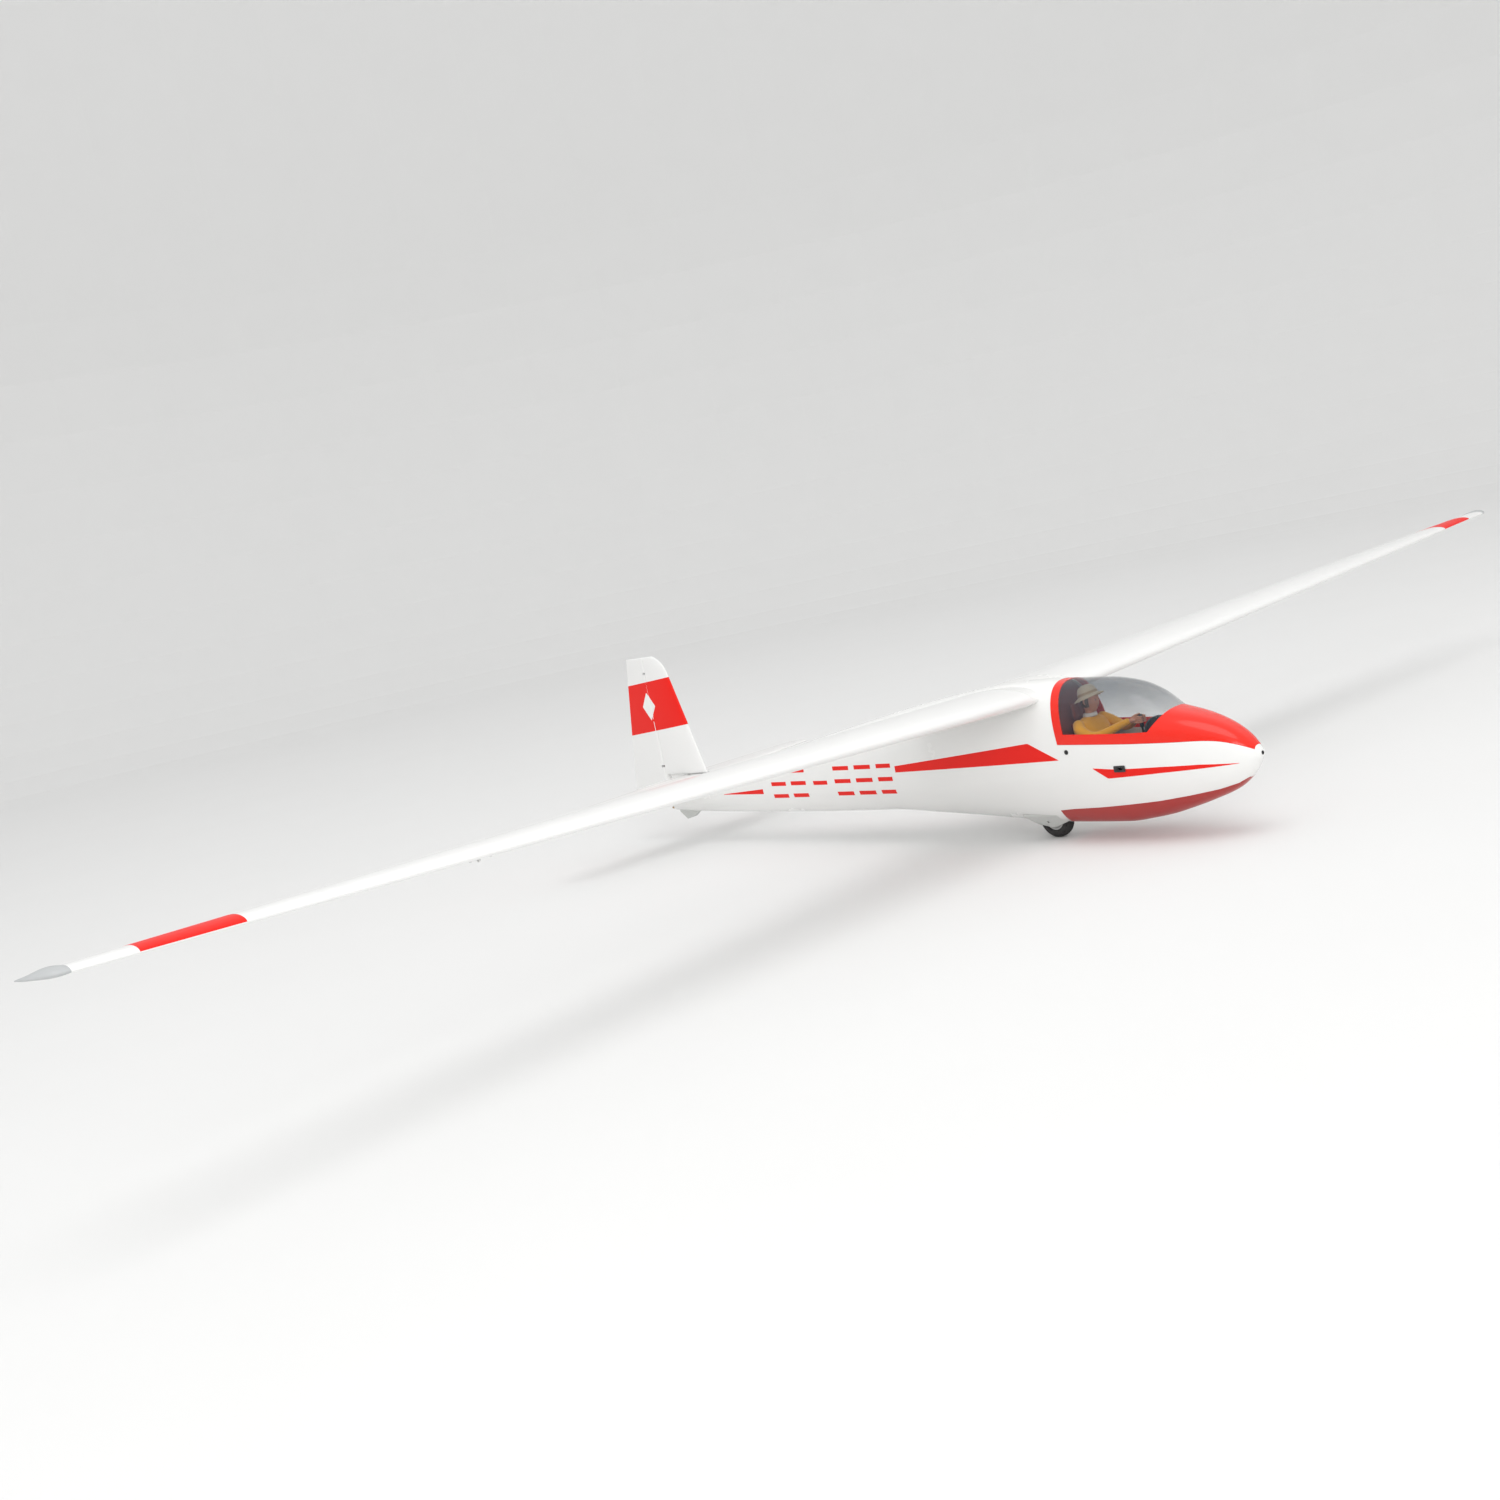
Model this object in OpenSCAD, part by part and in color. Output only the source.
// Radio-controlled scale sailplane: hollow moulded fuselage, lift-off hood, plug-in wings.
// Frame: +X towards the nose, +Y towards the left wing, +Z up, Z = 0 at the bottom of the wheel.

/* [Wing] */
// Wing span from tip to tip
span = 3000; // [2960:10:3040]
// Chord at the root rib
root_chord = 232; // [228:1:236]
// Chord that the straight taper reaches at the tip
tip_chord = 47; // [45:1:50]
// Rise of each wing from the centreline to its tip
dihedral_rise = 63; // [58:1:68]
// Nose-up angle of the wing against the fuselage
incidence = 1.5; // [1:0.1:2]
// Thickness of the wing section as a part of its chord
wing_thick = 0.14; // [0.135:0.005:0.145]
// Inboard end of the aileron
aileron_in = 800; // [780:10:820]
// Outboard end of the aileron
aileron_out = 1400; // [1380:10:1420]

/* [Fuselage] */
// Wall of the fuselage shell
wall = 2.2; // [2:0.1:2.4]
// Half width at the cockpit
cabin_w = 57; // [56:0.5:58]
// Height of the cockpit top above the ground
cabin_top = 239; // [238:0.5:240]
// Height of the tail boom's lower edge above the ground
boom_low = 52; // [50:0.5:54]

/* [Tail] */
// Height of the top of the fin
fin_top = 361; // [355:1:365]
// Half span of the tailplane
stab_half = 300; // [292:1:304]
// Thickness of the fin section as a part of its chord
fin_thick = 0.08; // [0.075:0.005:0.085]
// Thickness of the tailplane section as a part of its chord
stab_thick = 0.09; // [0.085:0.005:0.095]

/* [Wheel] */
// Outer radius of the tyre
wheel_r = 28.5; // [28:0.5:29]
// Width of the tyre
tyre_w = 19; // [17:0.5:20]

/* [Controls] */
// Radius of the aileron servo arm and horn
aileron_arm = 10; // [9.5:0.5:10.5]
// Radius of the elevator servo arm and horn
elevator_arm = 14; // [13:0.5:14.5]
// Radius of the rudder servo arm and horn
rudder_arm = 9; // [8.5:0.5:9]
// Play between a turning pin and its bore, on the radius
play = 0.05; // [0.03:0.01:0.08]

/* [Hidden] */

white = "#f2f2ee";
red = "#d8241c";
steel = "#b9bcc0";
black = "#1c1c1e";
grey = "#a9aba8";
ply = "#c9a26b";
cream = "#e9dcc0";

$fn = 48;
hair = 0.3;                       // parting gap between the hood and the shell

// ---------------------------------------------------------------- shared functions
function mix(a, b, t) = a + (b - a) * t;
function flat(lists) = [for (one = lists) each one];
function between(table, x, col, i = 0) =
    i >= len(table) - 2 || x <= table[i + 1][0]
    ? mix(table[i][col], table[i + 1][col],
          (x - table[i][0]) / (table[i + 1][0] - table[i][0]))
    : between(table, x, col, i + 1);

// Half thickness of a symmetrical section of thickness t at the chord fraction f
function half_thick(t, f) =
    5 * t * (0.2969 * sqrt(f) - 0.126 * f - 0.3516 * f * f
    + 0.2843 * pow(f, 3) - 0.1015 * pow(f, 4));

// Closed ring of rings: a solid with zipped end caps, each ring listed the same way round
module loft(rings) {
    n = len(rings[0]);
    m = len(rings);
    sides = [for (i = [0:m - 2], j = [0:n - 1])
        let (k = (j + 1) % n, a = i * n, b = a + n)
        each [[a + j, b + k, b + j], [a + j, a + k, b + k]]];
    zip = [for (k = [0:ceil(n / 2) - 2]) each concat([[k, n - 1 - k, k + 1]],
        k + 1 < n - 2 - k ? [[k + 1, n - 1 - k, n - 2 - k]] : [])];
    far = (m - 1) * n;
    caps = concat(zip, [for (f = zip) [f[0] + far, f[2] + far, f[1] + far]]);
    polyhedron(flat(rings), concat(sides, caps), convexity = 8);
}

// Bar of radius r between two points
module bar(p, q, r) {
    d = q - p;
    len_xy = norm([d[0], d[1]]);
    translate(p) rotate([0, atan2(len_xy, d[2]), atan2(d[1], d[0])]) cylinder(r = r, h = norm(d));
}

module both_sides() {
    children();
    mirror([0, 1, 0]) children();
}

module box(low, high) {
    translate(low) cube(high - low);
}

// ---------------------------------------------------------------- fuselage shape
// Stations from tail to nose: x, bottom, top, half width, height of the widest line
tail_x = -575;
nose_x = 691;
nose_z = 113;
body = [
    [tail_x, 63, 119, 13, 91], [-540, 60, 120, 15.5, 91], [-448, 57, 122, 20, 93],
    [-342, boom_low + 2, 144, 26, 98], [-237, boom_low, 164, 32, 104],
    [-112, boom_low - 1, 187, 39.5, 112], [6, 51, 207, 46.5, 120], [100, 45, 222, 51.5, 127],
    [216, 36, 236, 55.5, 134], [294, 29, 242, 57, 137], [358, 24.5, 241.5, cabin_w, 139],
    [397, 23.5, cabin_top, cabin_w, 140], [464, 23, 235, cabin_w, 139], [510, 28, 226, 56, 136],
    [540, 33, 212, 54, 133], [572, 41, 186, 50.5, 130], [613, 53, 173.5, 43, 125],
    [649, 66.5, 157, 32.5, 119], [670, 81, 142, 23.5, 115.5], [682, 94, 130, 15, nose_z],
    [688, 104, 122, 9, nose_z], [nose_x, nose_z - 5, nose_z + 5, 5, nose_z]
];
round_up = 2.5;                   // power of the section above the widest line
round_low = 2.1;                  // and below it

// The hood parts from the shell along this height
part_rear = 152;
function part_z(x) = part_rear - 0.045 * (x - 397) - 19 * pow(max(0, (x - 600) / 86), 3);
glass_step = 15;                  // height of the hood's sill strip

// Rings: x at the sill, x at the top. They lean where the hood's rear edge and arch lean.
rings = [
    [tail_x, tail_x], [-540, -540], [-448, -448], [-342, -342], [-237, -237], [-112, -112],
    [6, 6], [100, 100], [216, 216], [294, 294], [358, 352], [397, 386], [411, 400],
    [446, 440], [482, 484], [510, 524], [526, 550], [536, 572], [562, 590], [594, 608],
    [624, 632], [648, 652], [667, 667], [680, 680], [686, 686], [nose_x, nose_x]
];
rear_ring = 11;
band_ring = 12;
arch_ring = 17;
front_ring = 24;
last_ring = len(rings) - 1;

// Angles of one side, from the keel at -90 to the spine at 90
keel_step = 12.3;
low_steps = 6;
high_steps = 4;
function lift_angle(z, low, high) = asin(pow((z - low) / (high - low), round_up / 2));
function half_angles(r) =
    let (xs = rings[r][0], xt = rings[r][1],
         wide = between(body, xs, 4), top = between(body, xt, 2),
         in_hood = r >= rear_ring && r <= front_ring,
         sill = in_hood ? part_z(xs) : mix(wide, top, 0.12),
         rim = in_hood ? sill + min(glass_step, 0.45 * (top - sill)) : mix(wide, top, 0.27),
         a = lift_angle(sill, wide, top), b = lift_angle(rim, wide, top))
    concat([-90], [for (i = [0:low_steps]) mix(keel_step - 90, a, i / low_steps)],
           [for (i = [0:high_steps]) mix(b, 90, i / high_steps)]);
sill_index = low_steps + 1;
rim_index = sill_index + 1;
spine_index = rim_index + high_steps;

function body_point(r, angle, inset, side) =
    let (xs = rings[r][0], xt = rings[r][1], wide = between(body, xs, 4),
         top = between(body, xt, 2) - inset, low = between(body, xs, 1) + inset,
         w = between(body, xs, 3) - inset,
         power = angle > 0 ? round_up : round_low,
         y = w * pow(abs(cos(angle)), 2 / power),
         s = pow(abs(sin(angle)), 2 / power),
         z = angle > 0 ? wide + (top - wide) * s : wide - (wide - low) * s,
         sill = min(part_z(max(xs, 397)), top - 1),
         lean = max(0, (z - sill) / (top - sill)))
    [mix(xs, xt, lean), side * y, z];
function body_ring(r, inset) =
    let (a = half_angles(r))
    concat([for (k = [0:spine_index]) body_point(r, a[k], inset, -1)],
           [for (k = [spine_index - 1:-1:1]) body_point(r, a[k], inset, 1)]);
ring_size = 2 * spine_index;

// Which cells of the ring grid are skin: rows are ring gaps, columns run up the right side first
function height_of(col) = col < spine_index ? col : ring_size - 1 - col;
function in_hood(row, col) =
    row >= rear_ring && row < front_ring && height_of(col) >= sill_index;
function in_window(row, col) =
    row >= band_ring && row < arch_ring && height_of(col) >= rim_index;
well_ring = 9;
function in_well(row, col) = row == well_ring && height_of(col) == 0;
function is_cell(kind, row, col) =
    row < 0 || row >= last_ring ? false :
    kind == "shell" ? !in_hood(row, col) && !in_well(row, col) :
    kind == "frame" ? in_hood(row, col) && !in_window(row, col) :
    in_window(row, col);

// Skin of constant thickness over the chosen cells, with walls along every free edge
module skin(kind, inset, first, last) {
    n = ring_size;
    count = last - first + 1;
    outer = flat([for (r = [first:last]) body_ring(r, 0)]);
    inner = flat([for (r = [first:last]) body_ring(r, inset)]);
    shift = n * count;
    faces = [for (row = [first:last - 1], col = [0:n - 1]) if (is_cell(kind, row, col))
        let (k = (col + 1) % n, i = (row - first) * n, j = i + n,
             prev = (col + n - 1) % n,
             a = i + col, b = j + col, c = j + k, d = i + k,
             free = [!is_cell(kind, row, prev), row == last - 1 || !is_cell(kind, row + 1, col),
                     !is_cell(kind, row, k), row == first || !is_cell(kind, row - 1, col)],
             loop = [a, b, c, d])
        each concat(
            [[c, b, a], [d, c, a]],
            [[a + shift, b + shift, c + shift], [a + shift, c + shift, d + shift]],
            [for (e = [0:3]) if (free[e]) let (p = loop[e], q = loop[(e + 1) % 4])
                each [[p + shift, p, q], [q + shift, p + shift, q]]])];
    used = concat(outer, inner);
    polyhedron(used, faces, convexity = 12);
}

// The fuselage's outer form, filled, from the tail to the cockpit
module body_solid() {
    loft([for (r = [0:band_ring]) body_ring(r, 0)]);
}

// ---------------------------------------------------------------- wing shape
half_span = span / 2;
root_y = 57;
wing_x = 368;
wing_z = 218;
tip_forward = 5;                  // the leading edge runs this much forward to the tip
camber = 0.03;
camber_at = 0.4;
hinge_at = 0.76;                  // aileron hinge as a part of the chord
edge = 0.35;                      // half thickness of the wing's trailing edge
foil_steps = 12;
function chord(y) = mix(root_chord, tip_chord, (y - root_y) / (half_span - root_y));
function camber_line(f) =
    f < camber_at ? camber / pow(camber_at, 2) * (2 * camber_at * f - f * f)
    : camber / pow(1 - camber_at, 2) * (1 - 2 * camber_at + 2 * camber_at * f - f * f);
// A point of the left wing: span place, distances aft and up from the leading edge
function wing_point(y, aft, up) = [
    wing_x + tip_forward * y / half_span - aft * cos(incidence) - up * sin(incidence),
    y,
    wing_z + dihedral_rise * y / half_span - aft * sin(incidence) + up * cos(incidence)];
function foil_up(c, f, side) =
    c * camber_line(f) + side * (c * half_thick(wing_thick, f) + edge * f);
function foil_fractions(from, to) = [for (i = [0:foil_steps])
    mix(from, to, (1 - cos(180 * i / foil_steps)) / 2)];
function wing_ring(y, c, setback = 0, swell = 1) =
    let (f = foil_fractions(0, 1), n = foil_steps)
    concat([for (i = [n:-1:0]) wing_point(y, setback + c * f[i], swell * foil_up(c, f[i], 1))],
           [for (i = [1:n]) wing_point(y, setback + c * f[i], swell * foil_up(c, f[i], -1))]);
function hinge_point(y) =
    wing_point(y, hinge_at * chord(y), chord(y) * camber_line(hinge_at));
function nose_r(y) = chord(y) * half_thick(wing_thick, hinge_at) + edge * hinge_at;

tip_start = half_span - 38;
bay_gap = 0.8;                    // between a surface's round nose and its bay
end_gap = 1.2;                    // between a surface's ends and its bay

module wing_solid() {
    loft([wing_ring(tip_start, chord(tip_start)), wing_ring(root_y, root_chord)]);
}

// Block that clears the wing for the aileron
module aileron_bay() {
    deep = 14;
    function corner(y, aft, up) = wing_point(y, hinge_at * chord(y) + aft, up);
    ends = [aileron_out, aileron_in];
    loft([for (y = ends) [
        corner(y, 60, deep), corner(y, -nose_r(y) - bay_gap, deep),
        corner(y, -nose_r(y) - bay_gap, -deep), corner(y, 60, -deep)]]);
}

// Round nose and tapered tail of the aileron, as one closed section
nose_steps = 8;
tail_steps = 3;
function aileron_ring(y) =
    let (c = chord(y), r = nose_r(y), mid = c * camber_line(hinge_at), h = hinge_at * c)
    concat(
        [for (i = [tail_steps:-1:1]) let (f = mix(hinge_at, 1, i / tail_steps))
            wing_point(y, c * f, foil_up(c, f, 1))],
        [for (i = [0:nose_steps]) let (a = 180 * i / nose_steps)
            wing_point(y, h - r * sin(a), mid + r * cos(a))],
        [for (i = [1:tail_steps]) let (f = mix(hinge_at, 1, i / tail_steps))
            wing_point(y, c * f, foil_up(c, f, -1))]);
pin_r = 0.8;
pin_hold = 6;                     // length of a hinge pin in each end of its bay
horn_y = 1000;                    // span place of the aileron linkage
servo_lead = 45;                  // from the aileron hinge forward to the servo shaft

// Frame at the aileron hinge: x forward, y along the hinge line, z down through the horn's hole
hinge_dir = hinge_point(aileron_out) - hinge_point(aileron_in);
hinge_yaw = -atan2(hinge_dir[0], hinge_dir[1]);
hinge_roll = atan2(hinge_dir[2], norm([hinge_dir[0], hinge_dir[1]]));
module at_hinge(y) {
    translate(hinge_point(y)) rotate([0, 0, hinge_yaw]) rotate([hinge_roll, 0, 0]) children();
}
// The same directions at the servo shaft, straight ahead of the horn
module at_servo() {
    translate([servo_lead, 0, 0]) at_hinge(horn_y) children();
}

// ---------------------------------------------------------------- sub-parts: wings
joiner_at = 0.3;
joiner_r = 5;
sleeve_r = 6.2;
sleeve_in = 8;                    // inner end of the fuselage sleeves
sleeve_bore = 20;                 // inner end of the bore that takes them
joiner_end = 260;
dowel_at = 0.7;
dowel_r = 2;
function joiner_point(y) =
    wing_point(y, joiner_at * root_chord, root_chord * camber_line(joiner_at));
function dowel_point(y) =
    wing_point(y, dowel_at * root_chord, root_chord * camber_line(dowel_at));
dowel_in = 44;
dowel_out = 72;

module wing() {
    difference() {
        wing_solid();
        aileron_bay();
        bar(joiner_point(root_y - 1), joiner_point(joiner_end + 2.2), sleeve_r + play);
        bar(dowel_point(root_y - 1), dowel_point(dowel_out + 0.2), dowel_r + play);
        bar(hinge_point(aileron_in - pin_hold), hinge_point(aileron_out + pin_hold), pin_r);
        at_servo() box([-15, -7, -30], [20, 27, 6]);
    }
}
module wing_left() { color(white) wing(); }
module wing_right() { color(white) mirror([0, 1, 0]) wing(); }

// Streamlined tip body: the leading edge sweeps back to the trailing edge, slightly swollen
module wing_tip() {
    places = [0, 0.25, 0.5, 0.72, 0.88, 0.97];
    loft([for (i = [len(places) - 1:-1:0]) let (t = places[i],
        y = mix(tip_start, half_span, t / max(places)),
        c = chord(y), keep = sqrt(1 - t * t) , swell = 1 + 0.5 * sin(180 * min(1, 1.3 * t)))
        wing_ring(y, c * keep, c * (1 - keep) * 0.85, swell)]);
}
module wing_tip_left() { color(grey) wing_tip(); }
module wing_tip_right() { color(grey) mirror([0, 1, 0]) wing_tip(); }

module joiner(r, from, to) {
    both_sides() bar(joiner_point(from), joiner_point(to), r);
}
module wing_joiner() {
    color(steel) joiner(joiner_r, 0, joiner_end);
}
module joiner_sleeves() {
    color(ply) difference() {
        union() {
            joiner(sleeve_r, sleeve_in, root_y - 0.2);
            joiner(sleeve_r, root_y + 0.2, joiner_end + 2);
        }
        joiner(joiner_r + play, -1, joiner_end + 0.5);
    }
}
module root_dowels() {
    color(steel) both_sides() bar(dowel_point(dowel_in), dowel_point(dowel_out), dowel_r);
}

module aileron() {
    difference() {
        loft([aileron_ring(aileron_out - end_gap), aileron_ring(aileron_in + end_gap)]);
        bar(hinge_point(aileron_in), hinge_point(aileron_out), pin_r + play);
        horn_blank();
    }
}
module aileron_left() { color(white) aileron(); }
module aileron_right() { color(white) mirror([0, 1, 0]) aileron(); }
module aileron_pins() {
    color(steel) both_sides()
        bar(hinge_point(aileron_in - pin_hold), hinge_point(aileron_out + pin_hold), pin_r);
}

// Flat lever with an eye at each end, drawn in the X-Z plane, hanging down by reach
lever_t = 1.6;
eye_r = 0.8;                      // radius of a rod's bent end
eye_gap = 0.07;
module lever(reach, hub_r, end_r, shaft_r) {
    rotate([90, 0, 0]) difference() {
        linear_extrude(lever_t, center = true) hull() {
            circle(hub_r);
            translate([0, -reach]) circle(end_r);
        }
        cylinder(r = shaft_r + play, h = 9, center = true);
        translate([0, -reach, 0]) cylinder(r = eye_r + eye_gap, h = 9, center = true);
    }
}
// Straight rod in the X-Z plane with both ends bent sideways into the eyes
rod_r = 0.9;
small_shaft_r = 1.5;
big_shaft_r = 3;
rod_off = 2.2;                    // from the middle of a lever to the middle of its rod
module rod(length, side) {
    translate([-length, side * rod_off, 0]) rotate([0, 90, 0]) cylinder(r = rod_r, h = length);
    for (x = [0, -length]) translate([x, side * (rod_off + 0.2), 0]) rotate([side * 90, 0, 0])
        cylinder(r = eye_r, h = rod_off + 1.4);
}

module horn_blank() {
    at_hinge(horn_y) rotate([90, 0, 0]) linear_extrude(lever_t, center = true) hull() {
        translate([2.2, -2.4]) circle(1);
        translate([-7, -2.4]) circle(1);
        translate([0, -aileron_arm]) circle(2);
    }
}
module aileron_horn() {
    difference() {
        horn_blank();
        at_hinge(horn_y) translate([0, 0, -aileron_arm]) rotate([90, 0, 0])
            cylinder(r = eye_r + eye_gap, h = 9, center = true);
    }
}
module aileron_horn_left() { color(white) aileron_horn(); }
module aileron_horn_right() { color(white) mirror([0, 1, 0]) aileron_horn(); }

module aileron_arm_part() {
    at_servo() lever(aileron_arm, 3, 2, small_shaft_r);
}
module aileron_arm_left() { color(black) aileron_arm_part(); }
module aileron_arm_right() { color(black) mirror([0, 1, 0]) aileron_arm_part(); }

module aileron_rod() {
    translate([servo_lead, 0, 0]) translate(hinge_point(horn_y))
        rotate([0, 0, hinge_yaw]) rotate([hinge_roll, 0, 0]) translate([0, 0, -aileron_arm]) {
            run = servo_lead;
            start = [0, -rod_off, 0];
            stop = [-run * cos(hinge_yaw), run * sin(hinge_yaw) * cos(hinge_roll),
                    -run * sin(hinge_yaw) * sin(hinge_roll)];
            bar(start, start + stop, rod_r);
            for (p = [start, start + stop]) translate(p - [0, 0.2, 0])
                rotate([-90, 0, 0]) cylinder(r = eye_r, h = rod_off + 1.4);
        }
}
module aileron_rod_left() { color(steel) aileron_rod(); }
module aileron_rod_right() { color(steel) mirror([0, 1, 0]) aileron_rod(); }

module aileron_servos() {
    color("#26262c") both_sides() at_servo() {
        box([-7, 2.4, -4.6], [16, 24, 5.4]);
        box([-11, 2.4, -1.2], [-7, 5, 1.4]);
        translate([0, 2.4, 0]) rotate([90, 0, 0]) cylinder(r = small_shaft_r, h = 3.4);
    }
}
module servo_covers() {
    color(white) both_sides() at_servo() difference() {
        box([-14.8, -6.8, -6], [19.8, 26.8, -4.7]);
        box([-9.5, -4.8, -9], [9.5, 2, 0]);
    }
}

// ---------------------------------------------------------------- sub-parts: fuselage
stub_in = 40;
// Root fairing: the wing section carried on to the fuselage side
module root_stub() {
    loft([wing_ring(root_y - 0.2, root_chord), wing_ring(stub_in, root_chord + 5, -2, 1.12)]);
}

stab_seat = 120.9;                // flat on the tail boom that carries the tailplane
elev_x = -524;                    // elevator hinge
elev_z = 126;
horn_slot = [5, 11];              // side limits of the elevator horn's slot
screw_x = -472;
screw_y = 8.5;
screw_seat = 3.4;
switch_x = 497;
switch_z = 112;
switch_y = -55.8;
latch_x = 411;
latch_z = 140.5;
latch_r = 3.5;

module fuselage() {
    color(white) difference() {
        union() {
            skin("shell", wall, 0, last_ring);
            both_sides() root_stub();
        }
        box([elev_x - 12, horn_slot[0], 106], [elev_x + 12, horn_slot[1], 124]);
        box([elev_x + 3, -30, stab_seat], [stab_root_le + 3, 30, stab_seat + 20]);
        pylon();
        for (s = [-1, 1]) translate([screw_x, s * screw_y, 100]) cylinder(r = 1.4, h = 40);
        box([switch_x - 8, switch_y - 6, switch_z - 3.5], [switch_x + 8, switch_y + 7, switch_z + 3.5]);
        translate([latch_x, -40, latch_z]) rotate([90, 0, 0]) cylinder(r = latch_r + 0.1, h = 30);
        joiner(sleeve_r + play, sleeve_bore, root_y + 1);
        both_sides() bar(dowel_point(30), dowel_point(root_y + 1), dowel_r + play);
        translate([wheel_x, 20, wheel_r]) rotate([90, 0, 0]) cylinder(r = axle_r + play, h = 40);
    }
}

rudder_x = -585;                  // rudder hinge line
module tail_post() {
    ring = [for (p = body_ring(0, wall + 0.15)) [p[1], p[2]]];
    color(ply) difference() {
        union() {
            translate([tail_x, 0, 0]) rotate([90, 0, 90]) linear_extrude(3) polygon(ring);
            box([rudder_x, -4, 66], [tail_x, 4, 69]);
            translate([rudder_x, 0, 66]) cylinder(r = 4, h = 3);
        }
        box([tail_x - 1, 4.5, 88], [tail_x + 4, 10.8, 106]);
        translate([rudder_x, 0, 60]) cylinder(r = pin_r, h = 20);
    }
}

module wheel_fairing() {
    color(grey) both_sides() difference() {
        hull() {
            box([287, 22, 40], [350, 30.6, 42.6]);
            box([303, 12.5, 23], [306, 15, 26]);
            box([328, 12.5, 18], [332, 15, 20]);
            box([357, 12.5, 28], [360, 15, 31]);
        }
        body_solid();
        translate([wheel_x, 40, wheel_r]) rotate([90, 0, 0]) cylinder(r = axle_r, h = 60);
    }
}
wheel_x = 326;
axle_r = 2;
module wheel_axle() {
    color(steel) translate([wheel_x, 0, wheel_r]) rotate([90, 0, 0]) {
        cylinder(r = axle_r, h = 33, center = true);
    }
}
rim_r = 16;
module tyre() {
    side = tyre_w / 2;
    color(black) translate([wheel_x, 0, wheel_r]) rotate([90, 0, 0]) rotate_extrude($fn = 96)
        polygon([[rim_r, -side + 2], [rim_r + 2, -side], [wheel_r - 7, -side],
                 [wheel_r - 3, -side + 1.6], [wheel_r - 0.8, -side + 4.5], [wheel_r, -side + 7.5],
                 [wheel_r, side - 7.5], [wheel_r - 0.8, side - 4.5], [wheel_r - 3, side - 1.6],
                 [wheel_r - 7, side], [rim_r + 2, side], [rim_r, side - 2]]);
}
module wheel_hub() {
    color("#d5d6d8") translate([wheel_x, 0, wheel_r]) rotate([90, 0, 0]) rotate_extrude($fn = 96)
        polygon([[axle_r + play, -8], [6, -8], [7.5, -4], [13, -4], [rim_r, -tyre_w / 2 + 2],
                 [rim_r, tyre_w / 2 - 2], [13, 4], [7.5, 4], [6, 8], [axle_r + play, 8]]);
}
module tail_skid() {
    color(grey) difference() {
        hull() {
            box([-565, -4, 60], [-508, 4, 65]);
            translate([-546, 4, 48.5]) rotate([90, 0, 0]) cylinder(r = 3.5, h = 8, $fn = 24);
            translate([-528, 4, 51.5]) rotate([90, 0, 0]) cylinder(r = 3, h = 8, $fn = 24);
        }
        body_solid();
    }
}

tow_r = 1.5;
tow_outer_r = 2.6;
tow_len = 37;
module tow_tube() {
    color("#b08d3c") translate([nose_x + 0.5 - tow_len, 0, nose_z]) rotate([0, 90, 0]) difference() {
        cylinder(r = tow_outer_r, h = tow_len);
        translate([0, 0, -1]) cylinder(r = tow_r, h = tow_len + 2);
    }
}
module nose_ballast() {
    color("#6d6f73") translate([618, 0, 88]) rotate([0, 90, 0]) cylinder(r = 13, h = 30);
}
module battery() {
    color("#2f6fb5") box([556, -18, 64], [612, 18, 86]);
}
tray_low = 84;
tray_top = 87;
rudder_servo_x = 190;
elev_servo_x = 120;
rudder_rod_z = 98;
module servo_tray() {
    color(ply) difference() {
        union() {
            translate([0, 0, tray_low]) linear_extrude(tray_top - tray_low)
                polygon([[80, -41], [270, -46.5], [270, 46.5], [80, 41]]);
            for (y = [-31, 2]) box([90, y, tray_top], [130, y + 3, elev_z - 10]);
        }
        box([rudder_servo_x - 30.2, -10.2, 70], [rudder_servo_x + 10.2, 10.2, 100]);
    }
}
module rudder_servo() {
    color(black) {
        box([rudder_servo_x - 30, -10, 56], [rudder_servo_x + 10, 10, 92]);
        for (x = [rudder_servo_x - 37, rudder_servo_x + 10])
            box([x, -9, tray_top], [x + 7, 9, tray_top + 2.5]);
        translate([rudder_servo_x, 0, 92])
            cylinder(r = big_shaft_r, h = rudder_rod_z - rod_off + lever_t / 2 - 92);
    }
}
module elevator_servo() {
    color(black) {
        box([elev_servo_x - 30, -31, elev_z - 10], [elev_servo_x + 10, 4.4, elev_z + 10]);
        for (x = [elev_servo_x - 37, elev_servo_x + 10])
            box([x, 0.5, elev_z - 9], [x + 7, 3, elev_z + 9]);
        translate([elev_servo_x, 4.4, elev_z]) rotate([-90, 0, 0])
            cylinder(r = big_shaft_r, h = elev_lever_y + lever_t / 2 - 4.4);
    }
}
module receiver() {
    color("#2c2c34") box([214, -14, tray_top], [258, 14, tray_top + 15]);
}

elev_lever_y = 6.6;
module elevator_servo_arm() {
    color(white) translate([elev_servo_x, elev_lever_y, elev_z])
        lever(elevator_arm, 5, 2.5, big_shaft_r);
}
module rudder_servo_arm() {
    color(white) translate([rudder_servo_x, 0, rudder_rod_z - rod_off]) rotate([90, 0, 0])
        lever(rudder_arm, 4.5, 2.2, big_shaft_r);
}
module elevator_rod() {
    color(steel) translate([elev_servo_x, elev_lever_y, elev_z - elevator_arm])
        rod(elev_servo_x - elev_x, 1);
}
module rudder_rod() {
    color(steel) translate([rudder_servo_x, rudder_arm, rudder_rod_z - rod_off]) rotate([90, 0, 0])
        rod(rudder_servo_x - rudder_x, 1);
}

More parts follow.
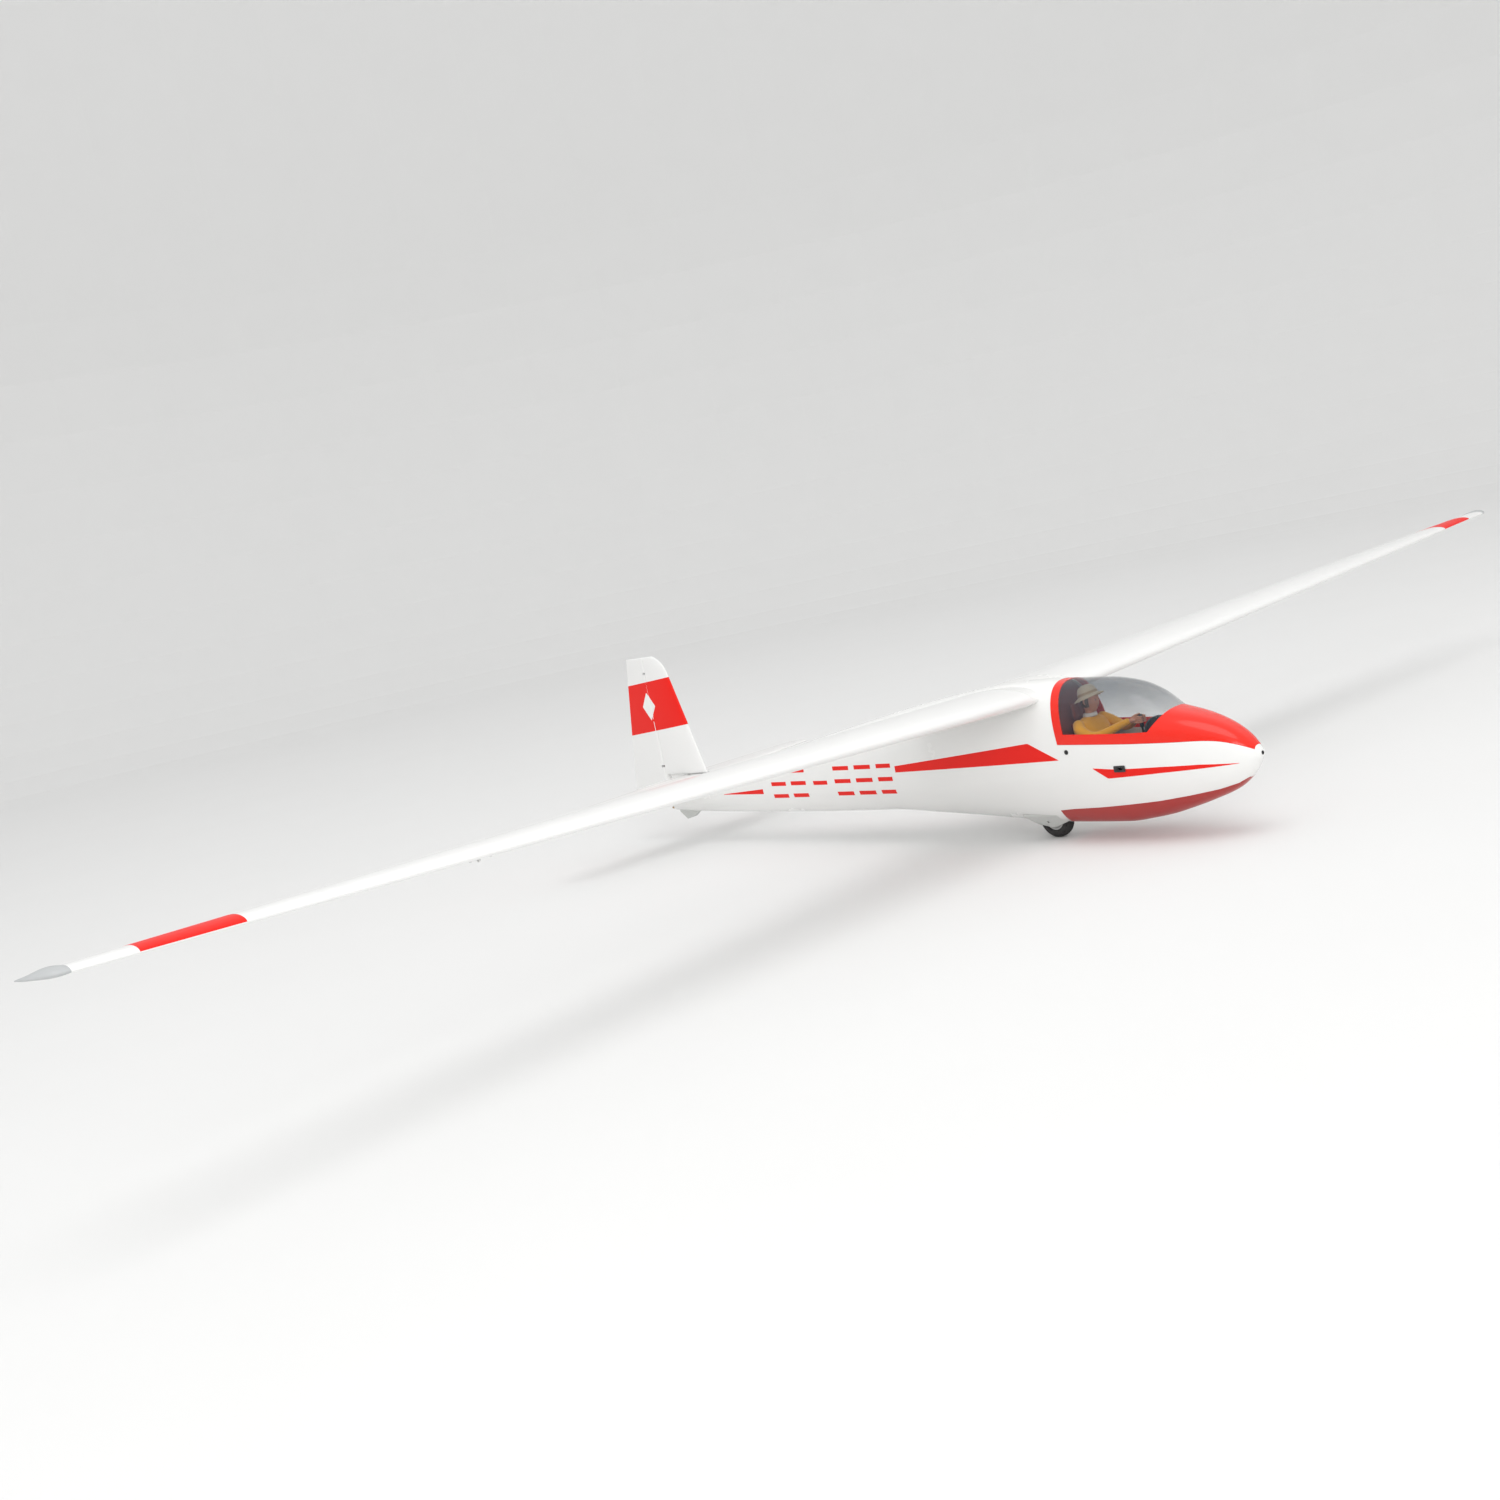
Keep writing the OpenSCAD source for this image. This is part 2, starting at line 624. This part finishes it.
module switch_body() {
    color(black) difference() {
        union() {
            box([switch_x - 9.5, switch_y - 1.2, switch_z - 4.6],
                [switch_x + 9.5, switch_y, switch_z + 4.6]);
            box([switch_x - 7.8, switch_y, switch_z - 3.3], [switch_x + 7.8, switch_y + 8, switch_z + 3.3]);
        }
        box([switch_x - 5, switch_y - 2, switch_z - 1.7], [switch_x + 5, switch_y + 3, switch_z + 1.7]);
    }
}
module switch_slider() {
    color("#3a3a3e") box([switch_x - 4.9, switch_y - 2.2, switch_z - 1.6],
                         [switch_x - 0.3, switch_y + 2.9, switch_z + 1.6]);
}
module latch_housing() {
    color(grey) difference() {
        box([latch_x - 7, -54, latch_z - 6], [latch_x + 7, -47.5, latch_z + 6]);
        translate([latch_x, -40, latch_z]) rotate([90, 0, 0]) cylinder(r = latch_r + play, h = 30);
    }
}
module latch_button() {
    color(black) translate([latch_x, -50.5, latch_z]) rotate([90, 0, 0]) cylinder(r = latch_r, h = 7.6);
}

// ---------------------------------------------------------------- sub-parts: hood
// The hood is drawn a hair shorter and higher than the opening it closes
module hood_fit() {
    run = rings[front_ring][0] - rings[rear_ring][0];
    translate([rings[rear_ring][0] + hair, 0, hair]) scale([(run - 2 * hair) / run, 1, 1])
        translate([-rings[rear_ring][0], 0, 0]) children();
}
module hood_frame() {
    color(red) hood_fit() skin("frame", 1.6, rear_ring, front_ring);
}
module hood_glass() {
    color("#8fa2ad", 0.45) hood_fit() skin("glass", 1, band_ring, arch_ring);
}

// ---------------------------------------------------------------- sub-parts: cockpit
module cockpit_tub() {
    color("#8b8f8c") {
        difference() {
            box([404, -44, 94], [556, 44, 138]);
            box([406, -42, 96], [554, 42, 150]);
        }
    }
}
module seat() {
    color("#5a2320") {
        hull() {
            box([424, -26, 98], [430, 26, 100]);
            box([398, -24, 176], [404.5, 24, 178]);
        }
        hull() {
            box([398, -12, 177], [404, 12, 180]);
            box([394, -11, 200], [401, 11, 203]);
        }
    }
}
module instrument_panel() {
    color(black) translate([531, 0, 0]) rotate([90, 0, 90]) linear_extrude(3) hull() {
        for (y = [-1, 1]) {
            translate([y * 34, 142]) circle(2);
            translate([y * 22, 168]) circle(6);
        }
    }
}
module control_stick() {
    color(black) {
        translate([508, 0, 96.2]) cylinder(r = 5, h = 3);
        translate([508, 0, 98]) cylinder(r = 1.6, h = 66);
        translate([508, 0, 160]) cylinder(r = 3.2, h = 18);
    }
}
shoulder = [418, 34, 172];
elbow = [448, 38, 156];
hand = [501, 7, 172];
module limb(p, q, r1, r2) {
    hull() {
        translate(p) sphere(r = r1, $fn = 16);
        translate(q) sphere(r = r2, $fn = 16);
    }
}
module pilot_body() {
    color("#e59a1f") {
        hull() {
            translate([425, 0, 160]) scale([0.36, 1, 0.7]) sphere(r = 34, $fn = 20);
            translate([440, 0, 112]) scale([0.5, 1, 0.6]) sphere(r = 26, $fn = 20);
        }
        both_sides() {
            limb(shoulder, elbow, 8, 7);
            limb(elbow, hand, 7, 4.5);
            limb([446, 14, 110], [528, 20, 112], 12, 9);
        }
        translate([421, 0, 178]) cylinder(r = 6.5, h = 8.8, $fn = 24);
    }
}
module pilot_head() {
    color("#d79a78") translate([426, 0, 204]) scale([1, 0.82, 1.22]) sphere(r = 14, $fn = 28);
}
module pilot_hat() {
    color(cream) translate([424, 0, 213]) rotate([0, -14, 0]) difference() {
        union() {
            scale([1, 0.9, 0.95]) sphere(r = 17, $fn = 28);
            translate([0, 0, -3]) scale([1, 0.86, 1]) cylinder(r = 24, h = 1.6, $fn = 32);
        }
        translate([0, 0, -30]) cylinder(r = 40, h = 26.99);
        rotate([0, 14, 0]) translate([2, 0, -9]) scale([1, 0.82, 1.22]) sphere(r = 14.05, $fn = 28);
    }
}

// ---------------------------------------------------------------- sub-parts: tail
fin_low = 132;
fin_le = [[140, -467], [335, -523]];
fin_te = [[101, -691.5], [361, -634]];
te_low = 101;                     // below this the trailing edge stands upright
function line_at(l, z) = mix(l[0][1], l[1][1], (z - l[0][0]) / (l[1][0] - l[0][0]));
fin_steps = 10;
// Whole fin and rudder section at height z, rounded back at the top of the leading edge
function fin_front(z) =
    line_at(fin_le, z) - 24 * pow(max(0, (z - fin_top + 40) / 40), 3);
function fin_ring(z) =
    let (le = fin_front(z), c = le - line_at(fin_te, z), f = [for (i = [0:fin_steps])
         (1 - cos(180 * i / fin_steps)) / 2], n = fin_steps)
    concat([for (i = [n:-1:0]) [le - c * f[i], c * half_thick(fin_thick, f[i]) + edge * f[i], z]],
           [for (i = [1:n]) [le - c * f[i], -c * half_thick(fin_thick, f[i]) - edge * f[i], z]]);
function rudder_r(z) =
    let (le = fin_front(max(z, fin_low)), c = le - line_at(fin_te, max(z, fin_low)))
    c * half_thick(fin_thick, (le - rudder_x) / c) + edge * 0.5;
fin_levels = [fin_low, 240, fin_top - 40, fin_top - 26, fin_top - 12, fin_top - 4, fin_top];

// Tongue of the fin that is glued into the tail boom behind the tailplane
module pylon() {
    box([tail_x + 4, -4.5, 112], [elev_x + 4, 4.5, fin_low + 2]);
}
// Metal strap of one rudder hinge
module hinge_strap(z) {
    box([rudder_x, -1.6, z - 1.5], [rudder_x + 14, 1.6, z + 1.5]);
}

module fin() {
    color(white) difference() {
        union() {
            loft([for (z = fin_levels) fin_ring(z)]);
            pylon();
        }
        // Bay for the rudder's round nose
        rotate([90, 0, 0]) linear_extrude(60, center = true) polygon(concat(
            [[-720, fin_low - 30], [rudder_x + rudder_r(fin_low) + bay_gap, fin_low - 30]],
            [for (z = fin_levels) [rudder_x + rudder_r(z) + bay_gap, z]],
            [[rudder_x + rudder_r(fin_top), fin_top + 1], [-720, fin_top + 1]]));
        for (z = hinge_z) hinge_strap(z);
        translate([elev_x, 30, elev_z]) rotate([90, 0, 0]) cylinder(r = elev_wire_r + play, h = 60);
    }
}

rudder_low = 71;
hinge_z = [150, 240, 330];
function rudder_ring(z) =
    let (r = rudder_r(z), te = line_at(fin_te, max(z, te_low)) + 12 * pow(max(0, 90 - z) / 19, 2))
    concat([for (i = [tail_steps:-1:1]) let (t = i / tail_steps)
                [mix(rudder_x, te, t), mix(r, edge, pow(t, 1.15)), z]],
           [for (i = [0:nose_steps]) let (a = 180 * i / nose_steps)
                [rudder_x + r * sin(a), r * cos(a), z]],
           [for (i = [1:tail_steps]) let (t = i / tail_steps)
                [mix(rudder_x, te, t), -mix(r, edge, pow(t, 1.15)), z]]);
module rudder() {
    color(white) difference() {
        loft([for (z = concat([rudder_low, 76, 82, 90, te_low], fin_levels)) rudder_ring(z)]);
        translate([rudder_x, 0, 60]) cylinder(r = pin_r + play, h = 300);
        for (z = hinge_z) box([rudder_x - 3.6, -12, z - 2.2], [rudder_x + 14, 12, z + 2.2]);
        box([rudder_x - 3.2, -3.2, rudder_rod_z - rod_off - lever_t / 2],
            [rudder_x + 9, 20, rudder_rod_z + 1.4]);
    }
}
module rudder_hinges() {
    color(steel) difference() {
        for (z = hinge_z) union() {
            hinge_strap(z);
            translate([rudder_x, 0, z - 1.5]) cylinder(r = 2.2, h = 3);
        }
        translate([rudder_x, 0, 60]) cylinder(r = pin_r, h = 300);
    }
}
module rudder_pin() {
    color(steel) translate([rudder_x, 0, 66.2]) cylinder(r = pin_r, h = 268);
}
module rudder_horn() {
    color(white) translate([rudder_x, 0, rudder_rod_z - rod_off]) rotate([90, 0, 0])
        lever(rudder_arm, 2.8, 2, pin_r);
}

stab_root_le = -455;
stab_tip_le = -492;
stab_root_te = -565;
stab_tip_te = -544;
elev_wire_r = 1;
elev_in = 17;
elev_out = 284;
function stab_le(y) = mix(stab_root_le, stab_tip_le, y / stab_half);
function stab_te(y) = mix(stab_root_te, stab_tip_te, y / stab_half);
function stab_ring(y, keep = 1) =
    let (mid = (stab_le(y) + stab_te(y)) / 2, full = stab_le(y) - stab_te(y), c = full * keep,
         le = mid + c / 2, n = fin_steps, f = [for (i = [0:n]) (1 - cos(180 * i / n)) / 2],
         h = [for (one = f) full * half_thick(stab_thick, one) * sqrt(keep) + edge * one])
    concat([for (i = [n:-1:0]) [le - c * f[i], y, elev_z + h[i]]],
           [for (i = [1:n]) [le - c * f[i], y, elev_z - h[i]]]);
function elev_r(y) =
    let (c = stab_le(y) - stab_te(y))
    c * half_thick(stab_thick, (stab_le(y) - elev_x) / c) + edge * 0.62;
function stab_keep(t) = sqrt(max(0.02, 1 - t * t));
module stab_half_solid() {
    tip = [for (t = [0.98, 0.85, 0.6, 0.3, 0]) stab_ring(mix(stab_half - 14, stab_half, t), stab_keep(t))];
    loft(concat(tip, [stab_ring(0)]));
}
module stabiliser() {
    front = bay_gap + elev_x;
    color(white) difference() {
        both_sides() stab_half_solid();
        translate([0, 0, elev_z - 20]) linear_extrude(40) polygon([
            [front + elev_r(0), 0], [front + elev_r(elev_out), elev_out + end_gap],
            [-620, elev_out + end_gap], [-620, -elev_out - end_gap],
            [front + elev_r(elev_out), -elev_out - end_gap]]);
        translate([elev_x, 320, elev_z]) rotate([90, 0, 0]) difference() {
            cylinder(r = elev_wire_r + play, h = 640);
            translate([0, 0, -1]) cylinder(r = 5, h = 31);
            translate([0, 0, 610]) cylinder(r = 5, h = 31);
        }
        for (s = [-1, 1]) translate([screw_x, s * screw_y, 0]) {
            translate([0, 0, 100]) cylinder(r = 1.4, h = 40);
            translate([0, 0, elev_z + screw_seat]) cylinder(r = 2.4, h = 20);
        }
    }
}
module stabiliser_screws() {
    color(steel) for (s = [-1, 1]) translate([screw_x, s * screw_y, 0]) {
        translate([0, 0, 115]) cylinder(r = 1.3, h = elev_z + screw_seat - 115);
        translate([0, 0, elev_z + screw_seat]) difference() {
            cylinder(r = 2.3, h = 1.8);
            translate([0, 0, 0.8]) cylinder(r = 1, h = 2, $fn = 6);
        }
    }
}
function elevator_ring(y) =
    let (r = elev_r(y), te = stab_te(y))
    concat([for (i = [tail_steps:-1:1]) let (t = i / tail_steps)
                [mix(elev_x, te, t), y, elev_z + mix(r, edge, t)]],
           [for (i = [0:nose_steps]) let (a = 180 * i / nose_steps)
                [elev_x + r * sin(a), y, elev_z + r * cos(a)]],
           [for (i = [1:tail_steps]) let (t = i / tail_steps)
                [mix(elev_x, te, t), y, elev_z - mix(r, edge, t)]]);
module elevator() {
    color(white) both_sides() difference() {
        loft([elevator_ring(elev_out), elevator_ring(elev_in)]);
        translate([elev_x, 300, elev_z]) rotate([90, 0, 0]) cylinder(r = elev_wire_r, h = 300);
    }
}
module elevator_wire() {
    color(steel) translate([elev_x, 289.5, elev_z]) rotate([90, 0, 0]) cylinder(r = elev_wire_r, h = 579);
}
module elevator_horn() {
    color(white) translate([elev_x, elev_lever_y, elev_z])
        lever(elevator_arm, 2.8, 2.2, elev_wire_r - play);
}

fuselage();
tail_post();
fin();
stabiliser();
stabiliser_screws();
wing_right();
wing_left();
wing_tip_right();
wing_tip_left();
wing_joiner();
joiner_sleeves();
root_dowels();
wheel_fairing();
wheel_axle();
tyre();
wheel_hub();
tail_skid();
tow_tube();
nose_ballast();
battery();
receiver();
servo_tray();
rudder_servo();
elevator_servo();
aileron_servos();
servo_covers();
cockpit_tub();
seat();
instrument_panel();
control_stick();
pilot_body();
pilot_head();
pilot_hat();
switch_body();
switch_slider();
latch_housing();
latch_button();
hood_frame();
hood_glass();
aileron_right();
aileron_left();
aileron_horn_right();
aileron_horn_left();
aileron_pins();
elevator();
elevator_wire();
elevator_horn();
rudder();
rudder_horn();
rudder_hinges();
rudder_pin();
aileron_arm_right();
aileron_arm_left();
elevator_servo_arm();
rudder_servo_arm();
aileron_rod_right();
aileron_rod_left();
elevator_rod();
rudder_rod();
